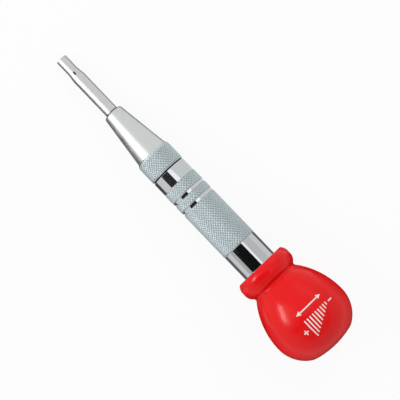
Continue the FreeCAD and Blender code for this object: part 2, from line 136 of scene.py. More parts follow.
class PunchTipSizes(bpy.types.PropertyGroup):
    """The tip's outline."""
    front_radius: length("Front radius", "Radius of the thinner end", 2.35 * MM)
    front_length: length("Front length", "Length of the thinner end", 6.8 * MM)
    shoulder_length: length("Shoulder length", "Length of the slope up to the rod", 3.6 * MM)
    rod_radius: length("Rod radius", "Radius of the rod", 2.8 * MM)
    socket_radius: length("Socket radius", "Radius of the hollow in the end", 1.6 * MM)
    socket_depth: length("Socket depth", "Depth of the hollow in the end", 9.2 * MM)
    slot_length: length("Slot length", "Length of the sight slot", 1.8 * MM)
    edge_break: length("Edge break", "Rounding of the front edge", 0.25 * MM)


class PunchNoseSizes(bpy.types.PropertyGroup):
    """The nose's outline."""
    front_radius: length("Front radius", "Radius of the front end", 4.25 * MM)
    rear_radius: length("Rear radius", "Radius where the taper meets the collar", 7.1 * MM)
    cone_length: length("Taper length", "Length of the taper", 23.05 * MM)
    edge_radius: length("Edge radius", "Rounding of the front edge", 1.0 * MM)
    collar_length: length("Collar length", "Length of the knurled collar with its chamfer", 9.35 * MM)
    collar_chamfer: length("Collar chamfer", "Length of the slope up to the collar", 1.2 * MM)
    relief_radius: length("Relief radius", "Radius of the dark gap behind the collar", 7.3 * MM)
    bore_radius: length("Bore radius", "Radius of the hole that the rod comes out of", 2.95 * MM)
    rear_bore_radius: length("Rear bore radius", "Radius of the hollow behind", 5.0 * MM)


class PunchBarrelSizes(bpy.types.PropertyGroup):
    """The barrel's bands."""
    front_band_radius: length("Front band radius", "Radius of the plain band in front", 7.8 * MM)
    groove_radius: length("Groove radius", "Radius at the bottom of the two grooves", 7.75 * MM)
    rear_band_radius: length("Rear band radius", "Radius of the plain band behind", 7.8 * MM)
    bore_radius: length("Bore radius", "Radius of the bore", 6.25 * MM)
    front_band_length: length("Front band length", "Length of the plain band in front", 6.2 * MM)
    knurl_a_length: length("First knurl length", "Length of the first knurled band", 4.9 * MM)
    groove_a_length: length("First groove length", "Length of the first groove", 1.45 * MM)
    knurl_b_length: length("Second knurl length", "Length of the second knurled band", 3.5 * MM)
    groove_b_length: length("Second groove length", "Length of the second groove", 1.5 * MM)
    knurl_c_length: length("Long knurl length", "Length of the long knurled band", 23.15 * MM)


class PunchKnurlSizes(bpy.types.PropertyGroup):
    """The diamond knurl, on the nose's collar and the barrel."""
    pitch: length("Pitch", "Distance between neighbouring grooves, square to them", 0.95 * MM)
    depth: length("Depth", "How deep the grooves are", 0.25 * MM)
    crest_flat: length("Crest flat", "Half of the width left flat on each diamond", 0.3 * MM)
    backing: length("Backing", "Thickness of steel under the grooves", 0.4 * MM)


class PunchKnobSizes(bpy.types.PropertyGroup):
    """The palm knob's outline, which is arcs that run into each other."""
    collar_radius: length("Collar radius", "Radius over the collar", 12.45 * MM)
    collar_arc: length("Collar arc", "Radius of the collar's rounding", 4.2 * MM)
    collar_edge: length("Collar edge", "Rounding where the collar meets the front face", 1.0 * MM)
    collar_place: length("Collar place", "From the front face to the collar's widest place", 3.1 * MM)
    collar_flat: length("Collar flat", "How long the collar is at its widest", 1.5 * MM)
    neck_arc: length("Neck arc", "Radius of the hollow behind the collar", 1.0 * MM)
    bulb_place: length("Bulb place", "From the front face to the bulb's widest place", 29.0 * MM)
    front_arc: length("Front arc", "Radius of the bulb's front", 32.0 * MM)
    rear_arc: length("Rear arc", "Radius of the bulb's rear", 14.6 * MM)
    corner_arc: length("Corner arc", "Radius of the tighter bend before the domed end", 7.0 * MM)
    flat_radius: length("Flat radius", "Radius of the small flat in the middle of the domed end", 3.0 * MM)
    mouth_radius: length("Mouth radius", "Radius of the hole round the barrel", 8.0 * MM)
    mark_place: length("Mark place", "From the front face to the middle of the printed mark", 29.2 * MM)
    mark_line: length("Mark line", "Width of the printed lines", 0.55 * MM)
    cup_radius: length("Cup radius", "Radius of the hollow for the end cap", 9.2 * MM)
    cup_end: length("Cup end", "From the front face to the bottom of the hollow", 35.0 * MM)


class PunchSpringSizes(bpy.types.PropertyGroup):
    """The springs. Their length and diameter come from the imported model."""
    return_wire: length("Return wire", "Diameter of the return spring's wire", 0.8 * MM)
    return_coils: count("Return coils", "Coils of the return spring", 6)
    main_wire: length("Main wire", "Diameter of the main spring's wire", 1.4 * MM)
    main_coils: count("Main coils", "Coils of the main spring", 8)
    main_front_coils: count("Main front coils", "Open coils that give way to the hammer", 4)
    leaf_foot: length("Leaf foot", "Straight length of the leaf spring, on the hammer", 7.6 * MM)


class PunchColours(bpy.types.PropertyGroup):
    """Colours of the surfaces that show."""
    chrome: colour("Polished chrome", "Reflection colour of chromium over polished steel", "C3C6C8")
    satin: colour("Ground chrome", "Reflection colour of chromium over ground steel", "CFD1D1")
    knurl: colour("Knurl chrome", "Reflection colour of chromium over the knurl", "C4CFD2")
    tip: colour("Tip nickel", "Reflection colour of nickel over the ground tip", "CBCCCB")
    vinyl: colour("Red vinyl", "Colour of the knob", "EF0C10")
    ink: colour("White ink", "Colour of the printed marks", "F2EFEA")
    floor: colour("Floor", "Colour of the floor", "F4F4F4")


# ---------------------------------------------------------------- mesh tools
def arc(centre, radius, from_angle, to_angle, steps):
    """Points of an arc of a turned outline. Angles are in radians from the axis, towards the outside."""
    points = []
    for step in range(steps + 1):
        angle = from_angle + (to_angle - from_angle) * step / steps
        points.append((centre[0] + radius * math.cos(angle), centre[1] + radius * math.sin(angle)))
    return points


def turn(outline, steps):
    """A bmesh of a closed outline of (place, radius) points turned once about the axis.

    Points on the axis close a solid end, and the line between two of them isn't turned.
    """
    bm = bmesh.new()
    points = [bm.verts.new((place, 0, radius)) for place, radius in outline]
    lines = zip(points, points[1:] + points[:1])
    edges = [bm.edges.new(ends) for ends in lines if any(point.co.z > 0 for point in ends)]
    bmesh.ops.spin(bm, geom=points + edges, cent=(0, 0, 0), axis=(1, 0, 0), dvec=(0, 0, 0),
                   angle=TURN, steps=steps, use_merge=True)
    bmesh.ops.remove_doubles(bm, verts=bm.verts, dist=SAME_POINT)
    return bm


def break_edges(bm, width, sharp_angle):
    """Rounds every edge that turns by more than an angle. Where two roundings meet, they join."""
    sharp = [edge for edge in bm.edges
             if len(edge.link_faces) == 2 and edge.calc_face_angle(0) > sharp_angle]
    bmesh.ops.bevel(bm, geom=sharp, offset=width, segments=2, profile=0.5, affect="EDGES",
                    material=-1, clamp_overlap=True)
    bmesh.ops.remove_doubles(bm, verts=bm.verts, dist=10 * SAME_POINT)


def finish_piece(name, bm, materials, body, replaced=(), smooth_angle=12.0):
    """Lays a bmesh on the tool's place, as an object that rides on a body and takes a finish's slot.

    A piece without a body is left unattached. smooth_angle is the least angle, in degrees,
    at which two faces meet in a sharp edge.
    """
    bmesh.ops.recalc_face_normals(bm, faces=bm.faces)
    bmesh.ops.transform(bm, matrix=TOOL, verts=bm.verts)
    mesh = bpy.data.meshes.new(name)
    bm.to_mesh(mesh)
    bm.free()
    mesh.shade_smooth()
    mesh.set_sharp_from_angle(angle=math.radians(smooth_angle))
    for material in materials:
        mesh.materials.append(material)
    piece = bpy.data.objects.new(name, mesh)
    bpy.context.scene.collection.objects.link(piece)
    if body:
        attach(piece, body)
    if replaced:
        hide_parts(*replaced)
    return piece


def knurled_band(name, start, end, radius, material, body, chamfer=0.0, drop=0.0):
    """A ring with a diamond knurl: alternate points of a grid go down, and cuts join them.

    chamfer is the length of a sloping start, which is lower by drop at its edge. The grooves run out on it.
    The "groove" attribute, from 0 on the crests to 1 at the bottom, tells the material where dust and oil
    collect and where shade is painted.
    """
    sizes = bpy.context.scene.punch_knurl
    diamonds = round(TURN * radius * math.cos(math.pi / 4) / sizes.pitch)
    column = TURN / diamonds / 2
    rows = max(2, round((end - start) / (column * radius)))
    row = (end - start) / rows
    inner = radius - drop - sizes.depth - sizes.backing
    outline = [(start, inner)]
    outline += [(start + row * step, radius) for step in range(rows + 1)]
    outline += [(end, inner)]
    bm = turn(outline, 2 * diamonds)
    groove = bm.verts.layers.float.new("groove")
    low, high = [], []
    for vertex in bm.verts:
        if math.hypot(vertex.co.y, vertex.co.z) < inner + 0.5 * sizes.backing:
            continue
        step = round((vertex.co.x - start) / row)
        place = round(math.atan2(vertex.co.y, vertex.co.z) / column)
        fullness = min(1.0, (vertex.co.x - start) / chamfer) if chamfer else 1.0
        surface = radius - drop * (1 - fullness)
        if step in (0, rows) or (step + place) % 2:
            vertex[groove] = fullness
            vertex.co.yz = vertex.co.yz * (surface - sizes.depth * fullness) / radius
            low.append(vertex)
        else:
            vertex.co.yz = vertex.co.yz * surface / radius
            high.append(vertex)
    bmesh.ops.connect_verts(bm, verts=low)
    bmesh.ops.bevel(bm, geom=high, offset=sizes.crest_flat, segments=1, profile=0.5, affect="VERTICES",
                    material=-1)
    finish_piece(name, bm, [material], body, smooth_angle=8.0)


def wound_wire(start, mean, wire, windings):
    """A bmesh of round wire wound about the axis. windings are stretches of turns and the rise of a turn."""
    side = Matrix.Translation((start, 0, mean)) @ Matrix.Rotation(math.pi / 2, 4, "X")
    bm = bmesh.new()
    ring = bmesh.ops.create_circle(bm, segments=WIRE_SIDES, radius=wire / 2, matrix=side)["verts"]
    moving = ring + list(dict.fromkeys(edge for vertex in ring for edge in vertex.link_edges))
    for turns, rise in windings:
        spun = bmesh.ops.spin(bm, geom=moving, cent=(0, 0, 0), axis=(1, 0, 0),
                              dvec=(rise / COIL_STEPS, 0, 0), angle=TURN * turns,
                              steps=COIL_STEPS * turns)
        moving = spun["geom_last"]
    bmesh.ops.holes_fill(bm, edges=bm.edges, sides=WIRE_SIDES)
    return bm


def open_rise(start, end, wire, coils):
    """The rise of an open coil, where the first and the last coil of a spring are closed."""
    return (end - start - 3 * wire) / (coils - 2)


def squash_to(spring):
    """Gives a spring a mesh of its own."""
    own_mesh(spring)


# ---------------------------------------------------------------- materials
def add_node(tree, kind, inputs=None, **settings):
    """Adds a node. An input is a value, or the socket that feeds it."""
    node = tree.nodes.new(kind)
    for field, value in settings.items():
        setattr(node, field, value)
    for name, value in (inputs or {}).items():
        if isinstance(value, bpy.types.NodeSocket):
            tree.links.new(value, node.inputs[name])
        else:
            node.inputs[name].default_value = value
    return node


def empty_material(name):
    """A node material without nodes. One of that name is used again, so that pieces of one steel share it."""
    material = bpy.data.materials.get(name) or bpy.data.materials.new(name)
    material.use_nodes = True
    material.node_tree.nodes.clear()
    return material, material.node_tree


def new_material(name):
    """An empty material, its tree, and Object coordinates turned to lie along the tool, in millimetres."""
    material, tree = empty_material(name)
    coordinates = add_node(tree, "ShaderNodeTexCoord")
    along_tool = add_node(tree, "ShaderNodeMapping", {
        "Vector": coordinates.outputs["Object"], "Location": TOOL.translation,
        "Rotation": TOOL.to_euler(), "Scale": (MM, MM, MM)}, vector_type="TEXTURE")
    return material, tree, along_tool.outputs["Vector"]


def finish_material(tree, shader):
    """Joins a shader to the material's output."""
    add_node(tree, "ShaderNodeOutputMaterial", {"Surface": shader.outputs[0]})


def metal(name, base, roughness, mark_spacing, mark_depth, grime_and_shade=None, shaded_from=None):
    """A turned and polished metal: rings of fine tool marks round the axis, and a cloudy polish.

    mark_spacing and mark_depth are in millimetres. grime_and_shade is the colour at the bottom of the knurl's
    grooves: dust and oil, and painted shade.
    From just in front of shaded_from on, in millimetres from the tool's front end, the metal is painted dark
    as shade.
    """
    mark_length = 25
    mark_tone = 0.95
    best_polish, worst_polish = 0.8, 1.25
    groove_roughness = 0.55
    shade_edge, shade_full = 0.55, 0.25
    material, tree, place = new_material(name)
    stretched = add_node(tree, "ShaderNodeMapping", {
        "Vector": place, "Scale": (1 / mark_spacing, 1 / mark_length, 1 / mark_length)})
    marks = add_node(tree, "ShaderNodeTexNoise", {
        "Vector": stretched.outputs["Vector"], "Scale": 1.0, "Detail": 3.0, "Roughness": 0.6})
    clouds = add_node(tree, "ShaderNodeTexNoise", {
        "Vector": place, "Scale": 0.35, "Detail": 4.0, "Roughness": 0.55})
    polish = add_node(tree, "ShaderNodeMapRange", {
        "Value": clouds.outputs["Fac"], "From Min": 0.3, "From Max": 0.7,
        "To Min": roughness * best_polish, "To Max": roughness * worst_polish})
    relief = add_node(tree, "ShaderNodeBump", {
        "Height": marks.outputs["Fac"], "Strength": 1.0, "Distance": mark_depth * MM})
    shade = add_node(tree, "ShaderNodeMix", {
        "Factor": marks.outputs["Fac"], "A": (*[c * mark_tone for c in base], 1), "B": (*base, 1)},
        data_type="RGBA")
    tone = shade.outputs["Result"]
    gloss = polish.outputs["Result"]
    if grime_and_shade:
        depth = add_node(tree, "ShaderNodeAttribute", attribute_name="groove")
        gloss = add_node(tree, "ShaderNodeMapRange", {
            "Value": depth.outputs["Fac"], "From Min": 0.05, "From Max": 0.4,
            "To Min": gloss, "To Max": groove_roughness}).outputs["Result"]
        # The bottoms of the grooves are painted darker: partly dust and oil, partly painted shade.
        dirt_and_shade = add_node(tree, "ShaderNodeMapRange", {
            "Value": depth.outputs["Fac"], "From Min": 0.55, "From Max": 1.0})
        tone = add_node(tree, "ShaderNodeMix", {
            "Factor": dirt_and_shade.outputs["Result"], "A": tone, "B": (*grime_and_shade, 1)},
            data_type="RGBA").outputs["Result"]
    # Painted shade: the rod is painted dark from just in front of the nose's edge inwards, where it goes into
    # the nose.
    if shaded_from:
        along = add_node(tree, "ShaderNodeSeparateXYZ", {"Vector": place})
        oil = add_node(tree, "ShaderNodeMapRange", {
            "Value": along.outputs["X"], "From Min": shaded_from - shade_edge,
            "From Max": shaded_from - shade_full})
        tone = add_node(tree, "ShaderNodeMix", {
            "Factor": oil.outputs["Result"], "A": tone, "B": (*linear("3A3936"), 1)},
            data_type="RGBA").outputs["Result"]
    shader = add_node(tree, "ShaderNodeBsdfPrincipled", {
        "Base Color": tone, "Metallic": 1.0, "Roughness": gloss,
        "Normal": relief.outputs["Normal"]})
    finish_material(tree, shader)
    return material


def mirror_chrome():
    """Bright chromium over polished steel: almost a mirror, so the plain bands show crisp reflections."""
    return metal("chrome_plated_steel_polished", bpy.context.scene.punch_colours.chrome,
                 roughness=0.05, mark_spacing=0.25, mark_depth=0.0003)


def satin_chrome():
    """Chromium over fine-ground steel: the taper's reflections have soft edges."""
    return metal("chrome_plated_steel_ground", bpy.context.scene.punch_colours.satin,
                 roughness=0.34, mark_spacing=0.18, mark_depth=0.0006)


def tip_steel():
    """Ground tool steel under thin nickel plate, satin, and painted dark as shade from just in front of the
    nose's edge inwards.
    """
    return metal("nickel_plated_tool_steel_ground", bpy.context.scene.punch_colours.tip, roughness=0.32,
                 mark_spacing=0.15, mark_depth=0.0006, shaded_from=NOSE_START / MM)


def knurl_chrome():
    """Chromium over rolled knurl. Plate stays thin and dull in the grooves; oil and dust collect there, and
    shade is painted there.
    """
    return metal("chrome_plated_steel_knurled", bpy.context.scene.punch_colours.knurl,
                 roughness=0.25, mark_spacing=0.3, mark_depth=0.002, grime_and_shade=linear("A2ADAF"))


def joint_shade_and_oil():
    """The bottom of the joint between nose and barrel, black with old oil and with painted shade."""
    return metal("steel_painted_shade_and_old_oil", linear("1C1B1A"), roughness=0.5, mark_spacing=0.2,
                 mark_depth=0.001)


def hardened_steel():
    """Hardened and ground steel under an oil film: darker and warmer than plate, with a cloudy polish."""
    return metal("hardened_steel_oiled", linear("85827C"), roughness=0.3, mark_spacing=0.12,
                 mark_depth=0.001)


def wire_steel():
    """Oil-tempered spring steel: dark blue-grey, with drawing marks."""
    return metal("spring_steel_oil_tempered", linear("5B5E64"), roughness=0.36, mark_spacing=0.1,
                 mark_depth=0.0015)


def zinc_plate():
    """Bright zinc plate: pale and slightly blue, softly cloudy."""
    return metal("zinc_plated_steel", linear("C6CCD3"), roughness=0.32, mark_spacing=0.4,
                 mark_depth=0.002)


def sintered_bronze():
    """Sintered bronze: brown-gold and dull, dotted with pores that hold oil."""
    material, tree, place = new_material("sintered_bronze_oiled")
    pores = add_node(tree, "ShaderNodeTexVoronoi", {"Vector": place, "Scale": 5.0})
    open_pores = add_node(tree, "ShaderNodeMapRange", {
        "Value": pores.outputs["Distance"], "From Min": 0.15, "From Max": 0.4})
    tone = add_node(tree, "ShaderNodeMix", {
        "Factor": open_pores.outputs["Result"], "A": (*linear("5E4527"), 1), "B": (*linear("C79A63"), 1)},
        data_type="RGBA")
    relief = add_node(tree, "ShaderNodeBump", {
        "Height": open_pores.outputs["Result"], "Strength": 1.0, "Distance": 0.01 * MM})
    shader = add_node(tree, "ShaderNodeBsdfPrincipled", {
        "Base Color": tone.outputs["Result"], "Metallic": 1.0, "Roughness": 0.42,
        "Normal": relief.outputs["Normal"]})
    finish_material(tree, shader)
    return material


def nitrile_rubber():
    """Moulded nitrile rubber: matt black with a fine grain."""
    material, tree, place = new_material("nitrile_rubber")
    grain = add_node(tree, "ShaderNodeTexNoise", {
        "Vector": place, "Scale": 6.0, "Detail": 3.0, "Roughness": 0.6})
    tone = add_node(tree, "ShaderNodeMix", {
        "Factor": grain.outputs["Fac"], "A": (*linear("171717"), 1), "B": (*linear("262626"), 1)},
        data_type="RGBA")
    relief = add_node(tree, "ShaderNodeBump", {
        "Height": grain.outputs["Fac"], "Strength": 1.0, "Distance": 0.01 * MM})
    shader = add_node(tree, "ShaderNodeBsdfPrincipled", {
        "Base Color": tone.outputs["Result"], "Roughness": 0.7, "IOR": 1.52,
        "Normal": relief.outputs["Normal"]})
    finish_material(tree, shader)
    return material


def moulded_vinyl():
    """Plasticised PVC from a polished mould: saturated colour, soft gloss, a faint unevenness."""
    material, tree, place = new_material("moulded_vinyl_red")
    base = bpy.context.scene.punch_colours.vinyl
    deep_tone = 0.93
    flow = add_node(tree, "ShaderNodeTexNoise", {
        "Vector": place, "Scale": 0.12, "Detail": 3.0, "Roughness": 0.5})
    tone = add_node(tree, "ShaderNodeMix", {
        "Factor": flow.outputs["Fac"], "A": (*[c * deep_tone for c in base], 1), "B": (*base, 1)},
        data_type="RGBA")
    skin = add_node(tree, "ShaderNodeTexNoise", {
        "Vector": place, "Scale": 0.5, "Detail": 2.0, "Roughness": 0.5})
    relief = add_node(tree, "ShaderNodeBump", {
        "Height": skin.outputs["Fac"], "Strength": 1.0, "Distance": 0.03 * MM})
    gloss = add_node(tree, "ShaderNodeMapRange", {
        "Value": flow.outputs["Fac"], "From Min": 0.3, "From Max": 0.7, "To Min": 0.15, "To Max": 0.21})
    shader = add_node(tree, "ShaderNodeBsdfPrincipled", {
        "Base Color": tone.outputs["Result"], "Roughness": gloss.outputs["Result"], "IOR": 1.5,
        "Specular IOR Level": 0.22, "Normal": relief.outputs["Normal"]})
    finish_material(tree, shader)
    return material


def pad_print_ink():
    """White pad-printing ink, thin enough for specks of the red under it to show."""
    material, tree, place = new_material("pad_print_ink_white")
    specks = add_node(tree, "ShaderNodeTexNoise", {
        "Vector": place, "Scale": 3.0, "Detail": 3.0, "Roughness": 0.65})
    cover = add_node(tree, "ShaderNodeMapRange", {
        "Value": specks.outputs["Fac"], "From Min": 0.3, "From Max": 0.5})
    tone = add_node(tree, "ShaderNodeMix", {
        "Factor": cover.outputs["Result"], "A": (*linear("F0A9A4"), 1),
        "B": (*bpy.context.scene.punch_colours.ink, 1)}, data_type="RGBA")
    shader = add_node(tree, "ShaderNodeBsdfPrincipled", {
        "Base Color": tone.outputs["Result"], "Roughness": 0.4, "IOR": 1.5})
    finish_material(tree, shader)
    return material


# ---------------------------------------------------------------- pieces
class PUNCH_OT_tip(bpy.types.Operator):
    """Makes the tip: a ground rod with a hollow end and a sight slot"""
    bl_idname = "punch.tip"
    bl_label = "Tip"

    def execute(self, context):
        sizes = context.scene.punch_tip
        shoulder_end = sizes.front_length + sizes.shoulder_length
        slot_end = sizes.socket_depth
        slot_start = slot_end - sizes.slot_length
        rise = (sizes.rod_radius - sizes.front_radius) / sizes.shoulder_length
        drill_point = 0.9 * MM
        edge = sizes.edge_break
        inner_edge = (edge / 2, sizes.socket_radius + edge / 2)
        outer_edge = (edge, sizes.front_radius - edge)
        outline = arc(inner_edge, edge / 2, -math.pi / 2, -math.pi, EDGE_STEPS)
        outline += arc(outer_edge, edge, math.pi, math.pi / 2, EDGE_STEPS)
        outline += [
            (sizes.front_length, sizes.front_radius),
            (slot_start, sizes.front_radius + rise * (slot_start - sizes.front_length)),
            (slot_end, sizes.front_radius + rise * (slot_end - sizes.front_length)),
            (shoulder_end, sizes.rod_radius),
            (TIP_END, sizes.rod_radius),
            (TIP_END, 0),
            (slot_end + drill_point, 0),
            (slot_end, sizes.socket_radius),
            (slot_start, sizes.socket_radius),
        ]
        bm = turn(outline, TIP_STEPS)
        self.cut_slot(bm, slot_start, slot_end, sizes.front_radius, 2 * TURN / TIP_STEPS)
        finish_piece("tip", bm, [tip_steel()], "plunger", ["punch_tip"])
        return {"FINISHED"}

    def cut_slot(self, bm, start, end, radius, half_angle):
        """Opens the wall of the hollow end between two places, with round ends, and closes its sides."""
        opened = []
        for face in bm.faces:
            middle = face.calc_center_median()
            if start < middle.x < end and abs(math.atan2(middle.y, middle.z)) < half_angle:
                opened.append(face)
        half_width = radius * half_angle
        for edge in {edge for face in opened for edge in face.edges}:
            one, other = edge.verts
            runs_round = abs(one.co.x - other.co.x) < 0.5 * (end - start)
            if runs_round:
                continue
            aside = math.atan2(one.co.y, one.co.z) / half_angle
            share = half_width / (end - start) * (1 - math.sqrt(max(0.0, 1 - aside ** 2)))
            one.co, other.co = one.co.lerp(other.co, share), other.co.lerp(one.co, share)
        bmesh.ops.delete(bm, geom=opened, context="FACES")
        rims = [edge for edge in bm.edges if edge.is_boundary]
        bmesh.ops.bridge_loops(bm, edges=rims)


class PUNCH_OT_nose(bpy.types.Operator):
    """Makes the tapered nose and its knurled collar"""
    bl_idname = "punch.nose"
    bl_label = "Nose"

    def execute(self, context):
        sizes = context.scene.punch_nose
        knurl = context.scene.punch_knurl
        rear_chamfer = 0.25 * MM
        under_crests = 0.1 * MM
        spigot_radius = 6.1 * MM
        bore_end = NOSE_START + 16 * MM
        taper_end = NOSE_START + sizes.cone_length
        collar_end = taper_end + sizes.collar_length
        knurl_end = collar_end - rear_chamfer
        plain_radius = COLLAR_RADIUS - under_crests
        drop = plain_radius - sizes.rear_radius
        root = COLLAR_RADIUS - drop - knurl.depth - 0.5 * knurl.backing
        taper = math.atan2(sizes.rear_radius - sizes.front_radius, sizes.cone_length)
        edge_centre = (NOSE_START + sizes.edge_radius, sizes.front_radius - sizes.edge_radius)
        outline = [(NOSE_START, sizes.bore_radius)]
        outline += arc(edge_centre, sizes.edge_radius, math.pi, math.pi / 2 + taper, EDGE_STEPS)
        outline += [
            (taper_end, sizes.rear_radius),
            (taper_end, root),
            (knurl_end, root),
            (knurl_end, plain_radius),
            (collar_end, plain_radius - rear_chamfer),
            (collar_end, sizes.relief_radius),
            (BARREL_START, sizes.relief_radius),
            (BARREL_START, spigot_radius),
            (NOSE_END, spigot_radius),
            (NOSE_END, sizes.rear_bore_radius),
            (bore_end, sizes.rear_bore_radius),
            (bore_end, sizes.bore_radius),
        ]
        bm = turn(outline, STEEL_STEPS)
        self.mark_joint(bm, collar_end, BARREL_START, plain_radius)
        finish_piece("nose", bm, [satin_chrome(), joint_shade_and_oil()], "housing",
                     ["nose_cap"])
        knurled_band("nose_knurl", taper_end, knurl_end, COLLAR_RADIUS, knurl_chrome(), "housing",
                     sizes.collar_chamfer, drop)
        return {"FINISHED"}

    def mark_joint(self, bm, start, end, radius):
        """Gives the faces in the gap behind the collar the second material, which paints shade there."""
        near = 0.01 * MM
        for face in bm.faces:
            middle = face.calc_center_median()
            in_gap = start - near < middle.x < end + near
            if in_gap and math.hypot(middle.y, middle.z) < radius:
                face.material_index = 1


class PUNCH_OT_barrel(bpy.types.Operator):
    """Makes the barrel: plain bands, grooves and three knurled bands"""
    bl_idname = "punch.barrel"
    bl_label = "Barrel"

    def execute(self, context):
        sizes = context.scene.punch_barrel
        knurl = context.scene.punch_knurl
        root = KNURL_RADIUS - knurl.depth - 0.5 * knurl.backing
        outline = [(BARREL_START, sizes.bore_radius)]
        material = knurl_chrome()
        bands = (
            ("knurl_front", sizes.front_band_length, sizes.front_band_radius, sizes.knurl_a_length),
            ("knurl_middle", sizes.groove_a_length, sizes.groove_radius, sizes.knurl_b_length),
            ("knurl_long", sizes.groove_b_length, sizes.groove_radius, sizes.knurl_c_length),
        )
        place = BARREL_START
        for name, plain_length, plain_radius, knurl_length in bands:
            start = place + plain_length
            end = start + knurl_length
            outline += [(place, plain_radius), (start, plain_radius), (start, root), (end, root)]
            knurled_band(name, start, end, KNURL_RADIUS, material, "housing")
            place = end
        outline += [
            (place, sizes.rear_band_radius),
            (BARREL_END, sizes.rear_band_radius),
            (BARREL_END, sizes.bore_radius),
        ]
        bm = turn(outline, STEEL_STEPS)
        break_edges(bm, width=0.1 * MM, sharp_angle=math.radians(25))
        finish_piece("barrel_tube", bm, [mirror_chrome()], "housing", ["barrel"])
        return {"FINISHED"}


def between_circles(centre_a, radius_a, centre_b, radius_b, radius):
    """The centre of a circle that lies outside both and touches them, on the side away from the axis."""
    start = Vector(centre_a)
    way = Vector(centre_b) - start
    apart = way.length
    along = (apart ** 2 + (radius_a + radius) ** 2 - (radius_b + radius) ** 2) / (2 * apart)
    across = math.sqrt((radius_a + radius) ** 2 - along ** 2)
    way.normalize()
    return start + way * along + Vector((-way.y, way.x)) * across


def slope(start, end):
    """The angle of the line from start to end, in radians from the axis."""
    return math.atan2(end[1] - start[1], end[0] - start[0])


def knob_outline(sizes):
    """The knob's outside, as (place, radius) points from the front face to the flat at its rear end."""
    collar_front = (KNOB_START + sizes.collar_place, sizes.collar_radius - sizes.collar_arc)
    collar_rear = (collar_front[0] + sizes.collar_flat, collar_front[1])
    inset = sizes.collar_edge - sizes.collar_place
    rise = math.sqrt((sizes.collar_arc - sizes.collar_edge) ** 2 - inset ** 2)
    edge = (collar_front[0] + inset, collar_front[1] + rise)
    crest = KNOB_START + sizes.bulb_place
    front = (crest, BULB_RADIUS - sizes.front_arc)
    rear = (crest, BULB_RADIUS - sizes.rear_arc)
    neck = between_circles(collar_rear, sizes.collar_arc, front, sizes.front_arc, sizes.neck_arc)
    edge_angle = slope(collar_front, edge)
    collar_angle = slope(collar_rear, neck)
    front_angle = slope(front, neck)
    tighter = sizes.rear_arc - sizes.corner_arc
    corner = (rear[0] + tighter * math.cos(CORNER_FROM), rear[1] + tighter * math.sin(CORNER_FROM))
    dome_radius = corner[1] / math.sin(CORNER_TO) + sizes.corner_arc
    dome = (corner[0] - (dome_radius - sizes.corner_arc) * math.cos(CORNER_TO), 0)
    flat_angle = math.asin(sizes.flat_radius / dome_radius)
    # The collar's two arcs have a flat between them. From there on, each arc starts where the last one ends.
    outline = arc(edge, sizes.collar_edge, math.pi, edge_angle, steps=5)
    outline += arc(collar_front, sizes.collar_arc, edge_angle, math.pi / 2, steps=6)[1:]
    outline += arc(collar_rear, sizes.collar_arc, math.pi / 2, collar_angle, steps=8)
    for centre, radius, from_angle, to_angle, steps in (
            (neck, sizes.neck_arc, collar_angle + math.pi, front_angle + math.pi, 8),
            (front, sizes.front_arc, front_angle, math.pi / 2, 28),
            (rear, sizes.rear_arc, math.pi / 2, CORNER_FROM, 22),
            (corner, sizes.corner_arc, CORNER_FROM, CORNER_TO, 6),
            (dome, dome_radius, CORNER_TO, flat_angle, 5)):
        outline += arc(centre, radius, from_angle, to_angle, steps)[1:]
    return outline


class PUNCH_OT_knob(bpy.types.Operator):
    """Makes the red palm knob"""
    bl_idname = "punch.knob"
    bl_label = "Palm knob"

    def execute(self, context):
        sizes = context.scene.punch_knob
        cup_start = KNOB_START + 1.6 * MM
        cup_end = KNOB_START + sizes.cup_end
        outline = [(KNOB_START, sizes.mouth_radius)]
        outline += knob_outline(sizes)
        outline += [
            (KNOB_END, 0),
            (cup_end, 0),
            (cup_end, sizes.cup_radius),
            (cup_start, sizes.cup_radius),
            (cup_start, sizes.mouth_radius),
        ]
        bm = turn(outline, KNOB_STEPS)
        finish_piece("palm_knob", bm, [moulded_vinyl()], "knob_unit", ["knob"],
                     smooth_angle=25.0)
        return {"FINISHED"}


